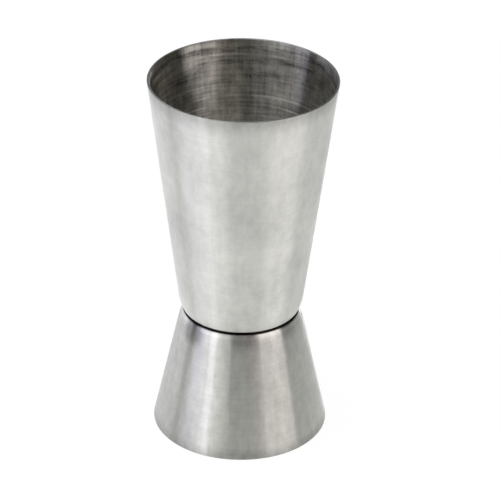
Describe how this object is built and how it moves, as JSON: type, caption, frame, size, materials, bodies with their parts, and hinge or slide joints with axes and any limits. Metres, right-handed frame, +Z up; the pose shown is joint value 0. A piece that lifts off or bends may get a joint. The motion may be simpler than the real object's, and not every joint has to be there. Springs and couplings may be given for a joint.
{
  "type": "bar jigger",
  "caption": "Double-ended stainless bar jigger: a tall conical cup welded floor to floor to a short flared cup that serves as its foot.",
  "frame": {"origin": "centre of the small cup's rim, in the plane that the jigger stands on", "axes": "+Z up along the common axis of both cups, towards the large cup's mouth; +X and +Y are any two directions across, with one weld on +Y"},
  "size_m": [0.0424, 0.0424, 0.0867],
  "materials": {
    "satin_steel": "satin, fine circumferential brushing",
    "bright_steel": "semi-bright, fine circumferential brushing",
    "weld_steel": "as welded, dull"
  },
  "bodies": {
    "root": {"large_cup": "satin_steel", "small_cup": "bright_steel", "weld_nugget_1": "weld_steel", "weld_nugget_2": "weld_steel", "weld_nugget_3": "weld_steel"}
  },
  "joints": []
}
